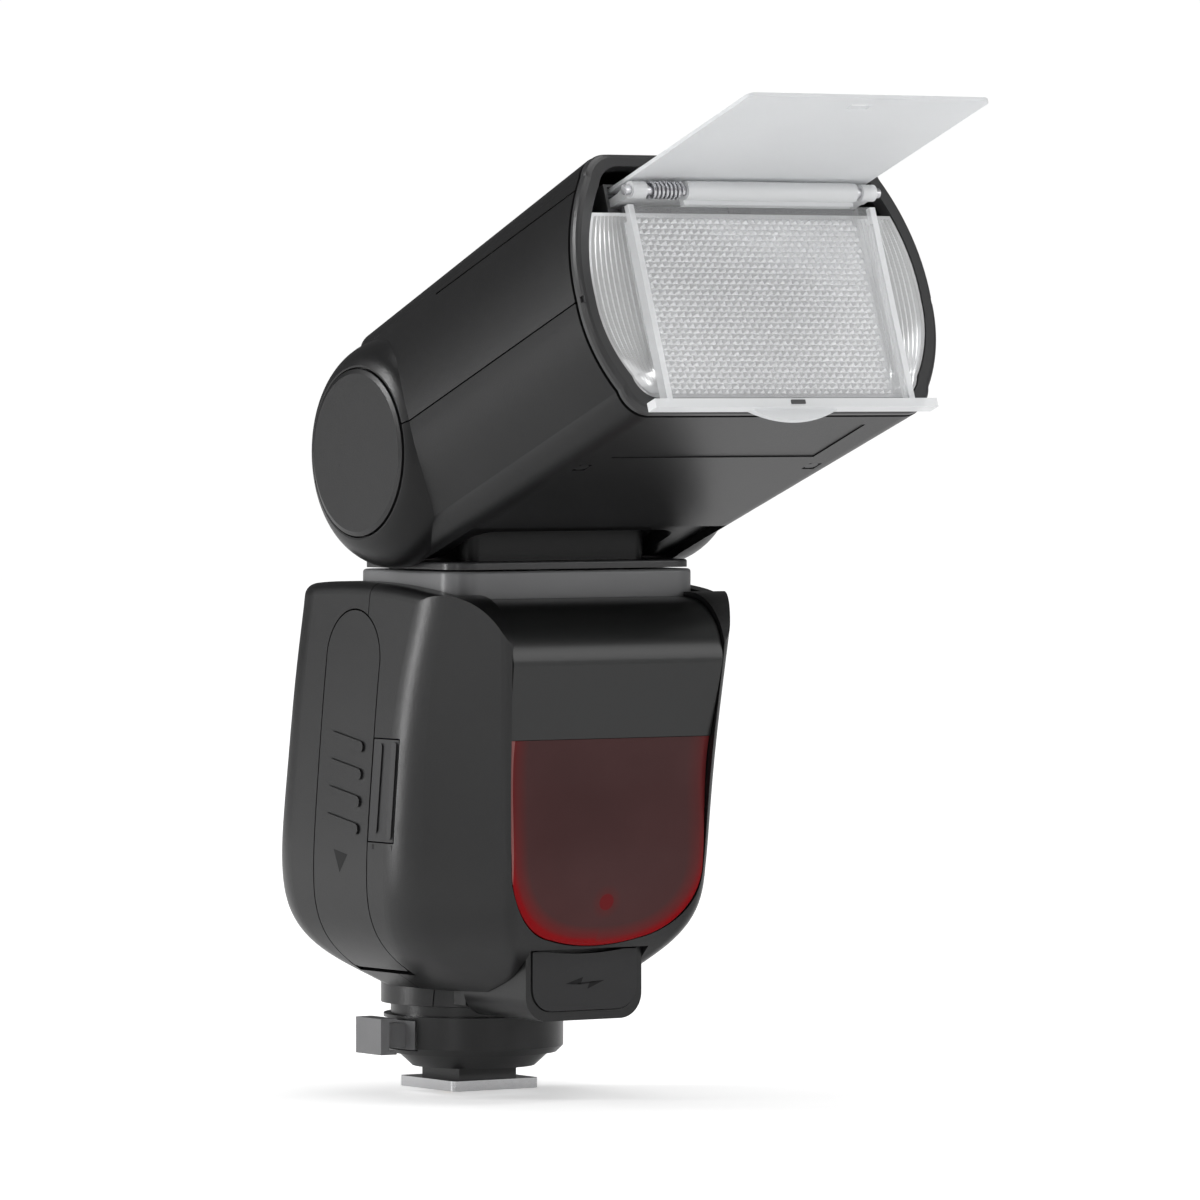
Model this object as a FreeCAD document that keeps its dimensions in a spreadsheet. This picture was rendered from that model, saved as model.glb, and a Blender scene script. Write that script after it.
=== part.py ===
import FreeCAD, Part
import math
import os
import re
import Sketcher

# Speedlight flash: a hot-shoe foot, a battery and control body, a swivel yoke and a tilting zoom head.
# Millimetres. The origin is the centre of the foot plate's underside, +Z is up and the front looks along -Y.
# Parts of the head are drawn in the head's own frame, whose origin is the tilt axis and whose -Y looks out of
# the window, and are then placed at the stored tilt. Rear controls are drawn on the sloping rear face.

V = FreeCAD.Vector
doc = FreeCAD.newDocument("speedlight")

# ---------------------------------------------------------------- driving dimensions
SIZES = {
    # hot-shoe foot, standard width
    "shoe_width": 18.6, "shoe_length": 19.0, "shoe_thick": 1.9, "rail_width": 12.4, "rail_length": 12.6,
    "rail_top": 4.2, "cone_top": 6.7, "cone_radius": 11.3, "collar_radius": 16.5, "collar_top": 13.8,
    "collar_shift": -1.5, "core_radius": 9.0, "lock_ring_top": 15.7, "lock_ring_radius": 15.2,
    "lever_reach": 22.4, "foot_pin_radius": 0.9, "foot_pin_hole": 1.15, "pin_out": 0.6,
    # body casing
    "wall": 2.0, "boss_bottom": 15.9, "boss_radius": 17.0,
    "crown_height": 94.0, "crown_rear": 90.0, "crown_front": 91.4, "split_shift": -13.6, "split_lean": 4.6,
    "window_half": 21.6, "window_top": 65.6, "window_bottom": 28.2, "panel_gap": 0.2,
    # battery side
    "door_half": 8.9, "door_top": 88.3, "door_centre": -11.2, "door_end": -23.6,
    "cell_radius": 7.1, "cell_length": 49.8, "cell_pitch": 14.3, "cell_first": 35.4, "cell_row": -11.0,
    # swivel and tilt
    "swivel_shift": -19.5, "platform_half_x": 26.6, "platform_half_y": 17.2, "platform_bottom": 89.6,
    "platform_top": 95.6, "turntable_bottom": 95.9, "turntable_top": 97.3, "turntable_half_x": 26.0,
    "turntable_half_y": 16.6, "swivel_bore": 7.06, "swivel_radius": 7.0, "tilt_height": 116.8,
    "tilt_angle": 20.0, "barrel_radius": 17.3, "barrel_half": 20.8, "tilt_shaft": 6.0, "tilt_bore": 6.06,
    "arm_inner": 21.6, "arm_outer": 34.4, "arm_radius": 20.8, "cap_outer": 36.7, "cap_radius": 15.0,
    "cap_recess": 15.35, "neck_half_x": 19.8, "neck_half_y": 10.2,
    # head
    "head_length": 79.5, "bezel_depth": 2.4, "head_rear": 3.4, "tray_half": 26.6, "tray_rear": 24.0,
    "card_half": 25.4, "card_low": 20.6, "card_thick": 0.7, "card_out": 43.0, "card_length": 58.0, "hinge_out": 83.3,
    "hinge_height": 18.6, "hinge_radius": 1.7, "panel_half": 26.2, "panel_near": 81.4, "panel_thick": 1.2,
    "panel_low": -20.0, "flange_half": 29.8, "reflector_half": 22.0,
    # rear control face
    "rear_lean": 6.6, "rear_depth": 18.0, "rear_middle": 60.0, "fascia_width": 46.0, "fascia_height": 54.0,
    "fascia_thick": 1.8, "dial_radius": 8.6,
}
sheet = doc.addObject("Spreadsheet::Sheet", "dims")
for row, (alias, value) in enumerate(SIZES.items(), start=1):
    sheet.set(f"A{row}", alias.replace("_", " "))
    sheet.set(f"B{row}", str(value))
    sheet.setAlias(f"B{row}", alias)
doc.recompute()


def size(alias):
    """One driving dimension, read back from the sheet."""
    return float(sheet.get(alias))


def cell(expression):
    """The expression with the sheet's name put before each of its aliases."""
    return re.sub(r"[a-z_]+", lambda m: "dims." + m.group() if m.group() in SIZES else m.group(), str(expression))


def bind(obj, **expressions):
    for prop, expression in expressions.items():
        obj.setExpression(prop.replace("__", "."), cell(expression))
    return obj


# ---------------------------------------------------------------- document helpers
count = {}
made = {}


def fresh(kind, name):
    """A new document object whose name is not used yet."""
    count[name] = count.get(name, 0) + 1
    return doc.addObject(kind, f"{name}_{count[name]}")


def slab(name, x, y, z):
    """A box from pairs of low and high expressions."""
    box = fresh("Part::Box", name)
    return bind(
        box, Length=f"({x[1]}) - ({x[0]})", Width=f"({y[1]}) - ({y[0]})", Height=f"({z[1]}) - ({z[0]})",
        Placement__Base__x=x[0], Placement__Base__y=y[0], Placement__Base__z=z[0],
    )


AXIS_TURNS = {"x": (V(0, 1, 0), 90), "y": (V(1, 0, 0), -90), "z": (V(0, 0, 1), 0)}


def rod(name, axis, radius, low, high, a, b, tip=None):
    """A cylinder, or with tip a cone, along an axis; a and b place it on the other two axes in X, Y, Z order."""
    obj = fresh("Part::Cone" if tip is not None else "Part::Cylinder", name)
    obj.Placement = FreeCAD.Placement(V(), FreeCAD.Rotation(*AXIS_TURNS[axis]))
    places = {"x": (low, a, b), "y": (a, low, b), "z": (a, b, low)}[axis]
    bind(obj, Height=f"({high}) - ({low})",
         Placement__Base__x=places[0], Placement__Base__y=places[1], Placement__Base__z=places[2])
    return bind(obj, Radius1=radius, Radius2=tip) if tip is not None else bind(obj, Radius=radius)


def fuse(name, *parts):
    if len(parts) == 1:
        return parts[0]
    obj = fresh("Part::MultiFuse", name)
    obj.Shapes = list(parts)
    obj.Refine = True
    return obj


def cut(name, base, *tools):
    obj = fresh("Part::Cut", name)
    obj.Base = base
    obj.Tool = fuse(name + "_tools", *tools)
    obj.Refine = True
    return obj


def plate(name, width, depth, thick, radius, x, y, z, edge=None, turn=None):
    """A rounded plate: a centred rectangle sketch, a pad and a fillet of its corner edges."""
    body = fresh("PartDesign::Body", name)
    sketch = body.newObject("Sketcher::SketchObject", body.Name + "_sketch")
    plane = next(f for f in body.Origin.OriginFeatures if f.Role == "XY_Plane")
    sketch.AttachmentSupport = (plane, [""])
    sketch.MapMode = "FlatFace"
    corners = [V(-1, -1), V(1, -1), V(1, 1), V(-1, 1)]
    for start, end in zip(corners, corners[1:] + corners[:1]):
        sketch.addGeometry(Part.LineSegment(start, end))
    for k in range(4):
        sketch.addConstraint(Sketcher.Constraint("Coincident", k, 2, (k + 1) % 4, 1))
    for k in (0, 2):
        sketch.addConstraint(Sketcher.Constraint("Horizontal", k))
        sketch.addConstraint(Sketcher.Constraint("Vertical", k + 1))
    sketch.addConstraint(Sketcher.Constraint("Symmetric", 0, 1, 1, 2, -1, 1))
    across = sketch.addConstraint(Sketcher.Constraint("DistanceX", 0, 1, 0, 2, 2.0))
    along = sketch.addConstraint(Sketcher.Constraint("DistanceY", 1, 1, 1, 2, 2.0))
    sketch.setExpression(f"Constraints[{across}]", cell(width))
    sketch.setExpression(f"Constraints[{along}]", cell(depth))
    pad = body.newObject("PartDesign::Pad", body.Name + "_pad")
    pad.Profile = sketch
    bind(pad, Length=thick)
    doc.recompute()
    upright = [f"Edge{i}" for i, e in enumerate(pad.Shape.Edges, 1)
               if abs(e.Vertexes[0].Z - e.Vertexes[-1].Z) > 1e-6]
    if radius is not None:
        round_off = body.newObject("PartDesign::Fillet", body.Name + "_corners")
        round_off.Base = (pad, upright)
        bind(round_off, Radius=radius)
        doc.recompute()
        pad = round_off
    if edge is not None:
        level = max(v.Z for v in pad.Shape.Vertexes)
        rim = [f"Edge{i}" for i, e in enumerate(pad.Shape.Edges, 1)
               if all(abs(v.Z - level) < 1e-6 for v in e.Vertexes)]
        soften = body.newObject("PartDesign::Fillet", body.Name + "_rim")
        soften.Base = (pad, rim)
        bind(soften, Radius=edge)
        doc.recompute()
    if turn:
        body.Placement = FreeCAD.Placement(V(), FreeCAD.Rotation(*turn))
    return bind(body, Placement__Base__x=x, Placement__Base__y=y, Placement__Base__z=z)


def shape_feature(name, shape):
    """A Part::Feature for a form that neither the primitives nor PartDesign make."""
    obj = fresh("Part::Feature", name)
    obj.Shape = shape
    return obj


def node(label, obj, placement=None):
    """Names a finished sub-part and places it, in a holder of its own where its placement is driven."""
    if placement is not None and any("Placement" in path for path, rule in obj.ExpressionEngine):
        holder = fresh("Part::Compound", label)
        holder.Links = [obj]
        obj = holder
    obj.Label = label
    if placement is not None:
        obj.Placement = placement.multiply(obj.Placement)
    made[label] = obj
    return obj


HEAD = FreeCAD.Placement(V(0, size("swivel_shift"), size("tilt_height")),
                         FreeCAD.Rotation(V(1, 0, 0), -size("tilt_angle")))
REAR = FreeCAD.Placement(V(0, size("rear_depth"), size("rear_middle")),
                         FreeCAD.Rotation(V(1, 0, 0), size("rear_lean")))


# ---------------------------------------------------------------- outline helpers
def rounded_outline(points, radii):
    """Edges of a closed polygon whose corners are rounded, each with its own radius."""
    starts, ends, mids = [], [], []
    for k, point in enumerate(points):
        before, after = points[k - 1] - point, points[(k + 1) % len(points)] - point
        before.normalize()
        after.normalize()
        half = before.getAngle(after) / 2
        reach = radii[k] / math.tan(half)
        bisector = before + after
        bisector.normalize()
        starts.append(point + before * reach)
        ends.append(point + after * reach)
        mids.append(point + bisector * (radii[k] / math.sin(half) - radii[k]))
    edges = []
    for k in range(len(points)):
        edges.append(Part.Arc(starts[k], mids[k], ends[k]).toShape())
        edges.append(Part.LineSegment(ends[k], starts[(k + 1) % len(points)]).toShape())
    return Part.Wire(edges)


def arc_wire(start, steps):
    """A closed wire: each step is (end,) for a line or (through, end) for an arc."""
    edges, here = [], start
    for step in steps:
        if len(step) == 1:
            edges.append(Part.LineSegment(here, step[0]).toShape())
        else:
            edges.append(Part.Arc(here, step[0], step[1]).toShape())
        here = step[-1]
    if (here - start).Length > 1e-6:
        edges.append(Part.LineSegment(here, start).toShape())
    return Part.Wire(edges)


def extrude(wire, vector):
    return Part.Face(wire).extrude(vector)


def block(x0, x1, y0, y1, z0, z1):
    return Part.makeBox(x1 - x0, y1 - y0, z1 - z0, V(x0, y0, z0))


def x_cylinder(radius, x0, x1, y=0.0, z=0.0):
    return Part.makeCylinder(radius, x1 - x0, V(x0, y, z), V(1, 0, 0))


def soften(shape, radius, wanted):
    """The shape with the wanted edges filleted, or unchanged where the kernel can't round them."""
    edges = [e for e in shape.Edges if wanted(e)]
    try:
        rounded = shape.makeFillet(radius, edges)
        if rounded.isValid() and rounded.Volume > 0:
            return rounded
    except Part.OCCError:
        pass
    print("left sharp:", len(edges), "edges at", radius)
    return shape


# ---------------------------------------------------------------- casing form
# Stations up the casing: height, half width, rear, shoulder (where the side turns in) and front corner x, y.
STATIONS = [
    (19.4, 17.6, 5.0, -19.0, 9.5, -30.0),
    (22.6, 22.8, 9.8, -21.5, 12.5, -34.5),
    (27.0, 28.4, 15.2, -24.5, 16.2, -39.6),
    (32.5, 31.9, 18.4, -27.0, 19.4, -44.0),
    (40.0, 33.3, 19.6, -28.2, 20.8, -46.2),
    (52.0, 33.4, 18.8, -28.8, 21.6, -47.0),
    (66.0, 33.0, 17.1, -30.0, 22.4, -48.2),
    (80.0, 32.4, 15.3, -32.8, 23.4, -49.8),
    (96.0, 31.6, 13.3, -37.0, 24.8, -51.4),
]


def casing_form(inset, front_inset, low=0.0, high=0.0):
    """The casing's outer form drawn in by inset all round and by front_inset at the front."""
    wires = []
    last = len(STATIONS) - 1
    for k, (z, half, rear, shoulder, front_x, front_y) in enumerate(STATIONS):
        z += low if k == 0 else high if k == last else 0
        h, r, s = half - inset, rear - inset, shoulder + 0.3 * inset
        fx, fy = front_x - 0.75 * inset, front_y + front_inset
        right = [V(h, r, z), V(h, s, z), V(fx, fy, z)]
        points = right + [V(-p.x, p.y, z) for p in reversed(right)]
        corner = max(0.35 * half - inset, 2.0)
        radii = [corner, 16.0, 3.0]
        points.reverse()
        radii = (radii + radii[::-1])[::-1]
        wires.append(rounded_outline(points, radii))
    return Part.makeLoft(wires, True, False)


def under_crown(drop):
    """Everything below the casing's crowned top and in front of its rounded brow, lowered by drop."""
    brow = V(0, -37.0, size("crown_front") - drop)
    start = V(0, 40, 10)
    wire = arc_wire(start, [
        (V(0, 40, size("crown_rear") - 3 - drop),),
        (V(0, 0.0, size("crown_height") - 0.75 - drop), brow),
        (V(0, -46.6 + drop, 88.2 - drop), V(0, -50.3 + drop, 79.0)),
        (V(0, -50.3 + drop, 10),),
    ])
    return extrude(wire, V(120, 0, 0)).translated(V(-60, 0, 0))


def rim_edge(edge):
    """True on the edge where the casing's sides and rear meet its crowned top."""
    return edge.BoundBox.ZMin > 91.9 and edge.BoundBox.YMin > -32.5


OUTER = soften(casing_form(0, 0).common(under_crown(0)), 2.4, rim_edge)
INNER = casing_form(size("wall"), 6.0, low=2.0, high=0).common(under_crown(2.6))


def window_outline(grow, y):
    """The sensor window's outline, seen from the front, in the plane y."""
    half, top, low = size("window_half") + grow, size("window_top") + grow, size("window_bottom") - grow
    side = 42.0
    return arc_wire(V(-half, y, top), [
        (V(half, y, top),),
        (V(half - 1.1, y, side),),
        (V(half - 4.2, y, low + 6.0), V(half - 12.0, y, low + 1.3)),
        (V(0, y, low), V(12.0 - half, y, low + 1.3)),
        (V(4.2 - half, y, low + 6.0), V(1.1 - half, y, side)),
    ])


WINDOW_FACE = [(-46.7, 66.0), (-46.1, 48.0), (-45.1, 36.0), (-43.2, 31.2), (-40.6, 27.6)]
BAND_FACE = [(-46.9, 65.7), (-49.6, 79.0), (-46.3, 87.2), (-38.2, 90.5), (-35.8, 90.8)]


def ahead_of_window(shift):
    """Everything in front of the sensor window's face, moved back by shift."""
    face = Part.BSplineCurve()
    face.interpolate([V(-60, y + shift, z) for y, z in WINDOW_FACE])
    ends = [V(-60, -70, 66), V(-60, -70, 27.6)]
    edges = [face.toShape(), Part.LineSegment(V(-60, -40.6 + shift, 27.6), ends[1]).toShape(),
             Part.LineSegment(ends[1], ends[0]).toShape(),
             Part.LineSegment(ends[0], V(-60, -46.7 + shift, 66)).toShape()]
    return extrude(Part.Wire(Part.__sortEdges__(edges)), V(120, 0, 0))


def ahead_of_band(shift):
    """Everything in front of and above the glossy panel's face, moved in by shift."""
    (y0, z0), (y1, z1), (y2, z2), (y3, z3), (y4, z4) = BAND_FACE
    d = shift
    wire = arc_wire(V(-60, y0 + d, z0), [
        (V(-60, y1 + d, z1),), (V(-60, y2 + 0.7 * d, z2 - 0.7 * d), V(-60, y3, z3 - d)), (V(-60, y4, z4 - d),),
        (V(-60, y4, 110),), (V(-60, -70, 110),), (V(-60, -70, z0),)])
    return extrude(wire, V(120, 0, 0))


def band_outline(grow):
    half = size("window_half") + grow
    wire = arc_wire(V(-half, -70, size("window_top") + 0.1 - grow), [
        (V(half, -70, size("window_top") + 0.1 - grow),), (V(half + 0.9, -70, 80),), (V(half + 0.9, -70, 99),),
        (V(-half - 0.9, -70, 99),), (V(-half - 0.9, -70, 80),)])
    return extrude(wire, V(0, 50, 0))


def window_prism(grow):
    return extrude(window_outline(grow, -70), V(0, 50, 0))


def door_outline(grow, x0, x1):
    """The battery door's outline: a leaning strip with a round top, as a prism through the side wall."""
    half, top, lean = size("door_half") + grow, size("door_top") + grow, math.radians(size("split_lean"))
    base, low = size("door_centre"), 15.0

    def at(offset, z):
        return V(x0, base + offset + (72.0 - z) * math.tan(lean), z)

    wire = arc_wire(at(-half, low), [
        (at(-half, top - half),), (at(0, top), at(half, top - half)), (at(half, low),)])
    return extrude(wire, V(x1 - x0, 0, 0))


def side_cover_outline(grow, x0, x1):
    """The port flap's outline beside the door, leaning as the door does."""
    lean = math.tan(math.radians(size("split_lean")))
    low, high, near, far = 47.0 - grow, 65.4 + grow, -20.5 + grow, -28.4 - grow
    corners = [(near, low), (near, high), (far, high), (far, low)]
    wire = Part.makePolygon([V(x0, y + (72.0 - z) * lean, z) for y, z in corners + corners[:1]])
    return extrude(wire, V(x1 - x0, 0, 0))


def behind_split(gap):
    """The half space behind the leaning parting plane of the casing."""
    lean = math.radians(size("split_lean"))
    big = block(-60, 60, 0, 80, -80, 120)
    place = FreeCAD.Placement(V(0, size("split_shift") + gap, 56), FreeCAD.Rotation(V(1, 0, 0), math.degrees(lean)))
    return big.transformGeometry(place.toMatrix())


# ---------------------------------------------------------------- body casing
def biggest(shape):
    """The largest solid of a shape: offcuts left by the booleans are dropped."""
    return max(shape.Solids, key=lambda s: s.Volume)


def door_barrel(radius, spare):
    """The round bar on the battery door's hinge axis, at the door's lower end."""
    return Part.makeCylinder(radius, 16.6 + 2 * spare, V(-22.9, -15.6 - spare, 24.0), V(0, 1, 0))


FASCIA_X, FASCIA_Z = size("fascia_width") / 2, size("fascia_height") / 2


def make_casing():
    gap = size("panel_gap")
    boss = Part.makeCylinder(size("boss_radius"), 8.0, V(0, size("collar_shift"), size("boss_bottom")))
    neck = block(-12.0, 12.0, -30.0, -8.0, 16.4, 26.0)
    outer = OUTER.fuse([boss, neck]).removeSplitter()
    band = band_outline(gap).common(ahead_of_band(2.3))
    window = window_prism(gap).common(ahead_of_window(2.3))
    sensor = window_prism(-4.0).common(block(-30, 30, -60, -30, 30, 62))
    half_x, half_y = size("platform_half_x") + 0.05, size("platform_half_y") + 0.05
    centre = size("swivel_shift")
    platform = block(-half_x, half_x, centre - half_y, centre + half_y, size("platform_bottom") - 0.1, 99)
    core = Part.makeCylinder(size("core_radius") + 0.05, 8, V(0, size("collar_shift"), 15))
    door_gap = door_outline(0.3, -60, size("door_end") + 0.3)
    hinge_room = door_barrel(1.95, 1.1)
    flap_gap = side_cover_outline(0.25, -60, -27.0)
    fascia = block(-FASCIA_X - 0.1, FASCIA_X + 0.1, -5, 20, -FASCIA_Z - 0.1, FASCIA_Z + 0.1)
    fascia = fascia.transformGeometry(REAR.toMatrix())
    ports = block(-12.65, 12.65, -60, -17.5, 10.0, 27.6)
    tools = [INNER, band, window, sensor, platform, core, door_gap, hinge_room, flap_gap, fascia, ports]
    shell = outer.cut(tools)
    return biggest(shell.cut(behind_split(-0.1))), biggest(shell.common(behind_split(0.1)))


front_shell, rear_shell = make_casing()
node("front_shell", shape_feature("front_shell", front_shell))
node("rear_shell", shape_feature("rear_shell", rear_shell))
node("brow_panel", shape_feature("brow_panel", biggest(
    band_outline(0).common(ahead_of_band(2.2)).cut(ahead_of_band(0)).common(block(-30, 30, -60, -36.9, 60, 99)))))
node("sensor_window", shape_feature("sensor_window", biggest(
    window_prism(0).common(ahead_of_window(2.2)).cut(ahead_of_window(0)))))

# ---------------------------------------------------------------- battery side
door = biggest(OUTER.common(door_outline(0, -60, size("door_end"))).cut(INNER))
node("battery_door", shape_feature("battery_door", door.fuse(door_barrel(1.1, 0)).removeSplitter()))

flap = OUTER.common(side_cover_outline(0, -60, -28.0)).cut(INNER)
node("side_flap", shape_feature("side_flap", biggest(flap)))

cells = []
tray_tools = []
for k in range(4):
    level = f"cell_first + {k} * cell_pitch"
    body = rod("cell", "x", "cell_radius", "-27", "-27 + cell_length - 1.2", "cell_row", level)
    tip = rod("cell_tip", "x", "2.7", "-27 + cell_length - 1.2", "-27 + cell_length", "cell_row", level)
    cells.append(fuse("cell_whole", body, tip))
    tray_tools.append(rod("cell_bore", "x", "cell_radius + 0.2", "-40", "23.1", "cell_row", level))
cell_row = fresh("Part::Compound", "cells")
cell_row.Links = cells
node("cells", cell_row)
node("cell_tray", cut(
    "cell_tray",
    slab("tray_block", ("-25.8", "24.6"), ("cell_row - 8.4", "cell_row + 8.4"), ("27.7", "86")),
    *tray_tools,
    slab("tray_middle", ("-40", "23.1"), ("cell_row - 4.4", "cell_row + 4.4"), ("31", "82"))))

# ---------------------------------------------------------------- inside the casing
node("main_capacitor", rod("main_capacitor", "z", "9", "36.5", "83.5", "6.5", "-28.7"))
node("main_board", slab("main_board", ("-24", "24"), ("-1.6", "0"), ("31", "84")))
node("sensor_board", slab("sensor_board", ("-10", "10"), ("-39.2", "-38"), ("36.5", "60")))
ir_dome = fuse("ir_dome", rod("ir_stem", "y", "2.2", "-42.4", "-39.3", "0", "37"))
node("infrared_sensor", ir_dome)
lamps = fresh("Part::Compound", "focus_lamps")
lamps.Links = [rod("lamp", "y", "3.4", "-42.6", "-39.3", x, "52") for x in ("-7.5", "7.5")]
node("focus_lamps", lamps)

# ---------------------------------------------------------------- connector block and flaps
block_shape = soften(block(-12.5, 12.5, -38.2, -17.65, 14.6, 27.4), 4.6,
                     lambda e: e.BoundBox.YLength > 15 and e.BoundBox.ZMax < 15)
flap_hole = soften(block(-11.35, 11.35, -45, -36.05, 16.25, 27.6), 4.2,
                   lambda e: e.BoundBox.YLength > 8 and e.BoundBox.ZMax < 17)
socket_hole = block(-9.6, -1.4, -40, -27.0, 19.6, 25.4)
jack_hole = Part.makeCylinder(2.1, 12, V(5.2, -37, 22.4), V(0, 1, 0))
node("connector_block", shape_feature("connector_block", block_shape.cut([flap_hole, socket_hole, jack_hole])))
flap_body = block(-11.2, 11.2, -38.55, -36.15, 16.4, 27.2)
flap_edge = soften(block(-11.2, 11.2, -45, -30, 16.4, 29.0), 4.2,
                   lambda e: e.BoundBox.YLength > 8 and e.BoundBox.ZMax < 17)
flap_dip = Part.makeCylinder(60.0, 10, V(0, -42, 86.6), V(0, 1, 0))
node("front_flap", shape_feature("front_flap", flap_body.common(flap_edge).removeSplitter().cut(flap_dip)))
node("power_socket", cut(
    "power_socket",
    slab("socket_body", ("-9.5", "-1.5"), ("-35.4", "-27.1"), ("19.7", "25.3")),
    slab("socket_mouth", ("-8.7", "-2.3"), ("-36", "-29"), ("20.5", "24.5"))))
node("usb_socket", cut(
    "usb_socket",
    slab("usb_body", ("-29.4", "-24.2"), ("-27.1", "-22.3"), ("50.2", "59.8")),
    slab("usb_mouth", ("-30", "-25.4"), ("-25.9", "-23.5"), ("51", "59"))))

# ---------------------------------------------------------------- rear controls, drawn on the rear face
KEYS = [("soft_key_1", -15.6), ("soft_key_2", -5.2), ("soft_key_3", 5.2), ("soft_key_4", 15.6)]
ROUND_BUTTONS = [("mode_button", -17.4, -9.4, 2.6), ("wireless_button", -17.4, -19.4, 2.6),
                 ("test_button", 17.4, -9.4, 2.9)]
back = "-fascia_thick"


def rear_rod(name, radius, low, high, x, z):
    return rod(name, "y", radius, low, high, x, z)


openings = [slab("display_hole", ("-19.1", "19.1"), ("-5", "5"), ("3", "25")),
            rear_rod("dial_hole", "dial_radius + 0.3", "-5", "5", "0", "-14.4"),
            slab("switch_hole", ("14.3", "20.5"), ("-5", "5"), ("-24.4", "-16.7"))]
openings += [slab("key_hole", (f"{x} - 3.7", f"{x} + 3.7"), ("-5", "5"), ("-2.9", "0.9")) for label, x in KEYS]
openings += [rear_rod("button_hole", f"{r} + 0.2", "-5", "5", f"{x}", f"{z}") for label, x, z, r in ROUND_BUTTONS]
fascia_base = slab("fascia_base", ("-fascia_width / 2", "fascia_width / 2"), (back, "0.5"),
                   ("-fascia_height / 2", "fascia_height / 2"))
node("control_fascia", cut("control_fascia", fascia_base, *openings), REAR)
node("display_window", slab("display_window", ("-19", "19"), ("-0.9", "0.3"), ("3.1", "24.9")), REAR)
node("display_panel", slab("display_panel", ("-20.4", "20.4"), ("-5", "-1.9"), ("2", "26")), REAR)
node("select_dial", cut(
    "select_dial", fuse("dial_body", rear_rod("dial_top", "dial_radius", "-1.7", "1.6", "0", "-14.4"),
                        rear_rod("dial_flange", "dial_radius + 0.9", "-3.2", "-1.95", "0", "-14.4"),
                        rear_rod("dial_hub", "dial_radius - 1", "-2", "-1.6", "0", "-14.4")),
    rear_rod("set_hole", "4.2", "-5", "5", "0", "-14.4")), REAR)
node("set_button", fuse("set_button", rear_rod("set_top", "3.9", "-4", "1.2", "0", "-14.4")), REAR)
for label, x in KEYS:
    node(label, fuse(label, slab("key_top", (f"{x} - 3.5", f"{x} + 3.5"), ("-2", "1.1"), ("-2.7", "0.7")),
                     slab("key_flange", (f"{x} - 4.2", f"{x} + 4.2"), ("-3", "-2"), ("-3.5", "1.4"))), REAR)
for label, x, z, r in ROUND_BUTTONS:
    node(label, fuse(label, rear_rod("button_top", f"{r}", "-2", "1.3", f"{x}", f"{z}"),
                     rear_rod("button_flange", f"{r} + 0.7", "-3", "-2", f"{x}", f"{z}")), REAR)
node("power_switch", fuse(
    "power_switch", slab("switch_knob", ("14.5", "20.3"), ("-2", "1.7"), ("-24.2", "-20.1")),
    slab("switch_slider", ("13.9", "20.9"), ("-3", "-2"), ("-26.8", "-16.6"))), REAR)

# ---------------------------------------------------------------- hot-shoe foot
PINS = [(0, 2.3), (-1.7, 4.9), (1.7, 4.9), (-3.5, 1.4), (3.5, 1.4)]
SCREWS = [(-4.5, -4.6), (4.5, -4.6), (-4.9, 4.9), (4.9, 4.9)]


def sector(name, inner, outer, start, sweep, low, high):
    """Part of a ring about the collar's centre line, from start through sweep degrees."""
    whole = rod(name, "z", outer, low, high, "0", "collar_shift")
    whole.Angle = sweep
    whole.Placement = FreeCAD.Placement(whole.Placement.Base, FreeCAD.Rotation(V(0, 0, 1), start))
    hole = rod(name + "_hole", "z", inner, f"{low} - 1", f"{high} + 1", "0", "collar_shift")
    return cut(name + "_ring", whole, hole)


pin_holes = [rod("pin_hole", "z", "foot_pin_hole", "-1", "6.4", f"{x}", f"{y}") for x, y in PINS + [(0, -4.6)]]
head_holes = [rod("screw_head_hole", "z", "1.5", "-1", "1.1", f"{x}", f"{y}") for x, y in SCREWS]
screw_holes = [rod("screw_hole", "z", "0.82", "-1", "6", f"{x}", f"{y}") for x, y in SCREWS]
node("foot_plate", cut("foot_plate", plate("foot_plate_blank", "shoe_width", "shoe_length", "shoe_thick", "1.2",
                                           "0", "0", "0"), *pin_holes, *head_holes, *screw_holes))
foot_body = fuse(
    "foot_body",
    slab("foot_rail", ("-rail_width / 2", "rail_width / 2"), ("-rail_length / 2", "rail_length / 2"),
         ("shoe_thick", "rail_top")),
    rod("foot_cone", "z", "cone_radius", "rail_top", "cone_top", "0", "collar_shift", tip="14"),
    rod("collar_edge", "z", "15.3", "cone_top", "cone_top + 1.2", "0", "collar_shift", tip="collar_radius"),
    rod("collar", "z", "collar_radius", "cone_top + 1.2", "collar_top", "0", "collar_shift"),
    rod("collar_neck", "z", "lock_ring_radius", "collar_top", "lock_ring_top", "0", "collar_shift"),
    rod("foot_core", "z", "core_radius", "lock_ring_top", "22", "0", "collar_shift"))
slot = sector("lever_slot", "10.4", "18", 93, 105.5, "7.5", "13.2")
node("foot_base", cut("foot_base", foot_body, slot, *pin_holes, *screw_holes,
                      rod("lock_pin_hole", "z", "foot_pin_hole", "1", "7.4", "0", "-4.6")))
node("lock_lever", fuse(
    "lock_lever", sector("lever_ring", "10.6", "16.2", 156, 40, "7.7", "13.0"),
    slab("lever_neck", ("-21", "-12"), ("-3.6", "2.0"), ("8.1", "12.6")),
    slab("lever_tab", ("-lever_reach", "-20.6"), ("-5.2", "3.4"), ("7.0", "13.6")),
    slab("lever_top", ("-21", "-19"), ("-5.2", "3.4"), ("12.9", "13.6")),
    slab("lever_foot", ("-21", "-19"), ("-5.2", "3.4"), ("7.0", "7.7"))))
node("lock_pin", rod("lock_pin", "z", "foot_pin_radius", "0.2", "7.1", "0", "-4.6"))
pins = fresh("Part::Compound", "contact_pins")
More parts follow.
